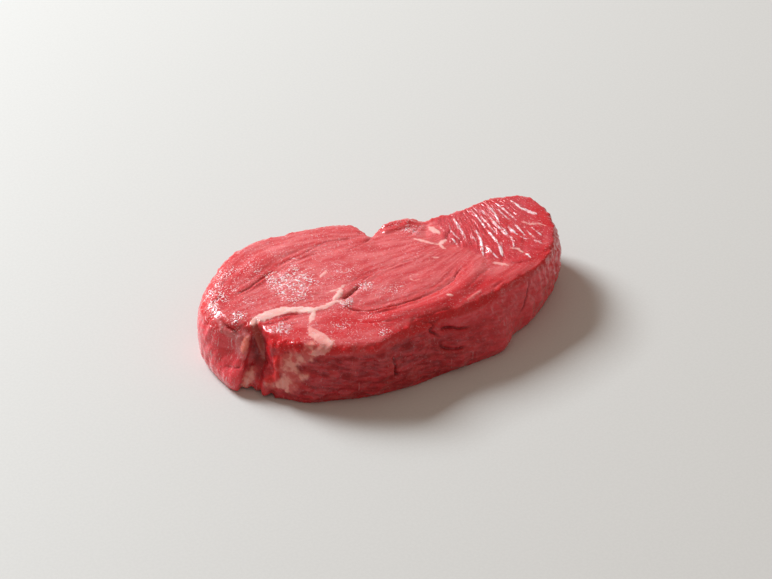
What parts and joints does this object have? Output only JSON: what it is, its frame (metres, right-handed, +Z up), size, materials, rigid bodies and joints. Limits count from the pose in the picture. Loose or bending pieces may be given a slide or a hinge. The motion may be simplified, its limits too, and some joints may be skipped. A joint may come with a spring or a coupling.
{
  "type": "raw beef steak",
  "caption": "Thick boneless raw beef steak with seams between its muscles, a fat seam and a cleft at one end, lying flat.",
  "frame": {"origin": "middle of the steak's flat lower face", "axes": "+X along the steak's length towards its narrow coarse-grained end, +Y to its back edge, +Z up out of the top cut face"},
  "size_m": [0.17, 0.093, 0.0287],
  "materials": {
    "raw_beef": "raw red beef, wet and glossy, with fine grain, pale cream-pink fat in the seams and a darker red side"
  },
  "bodies": {
    "root": {"steak": "raw_beef"}
  },
  "joints": []
}
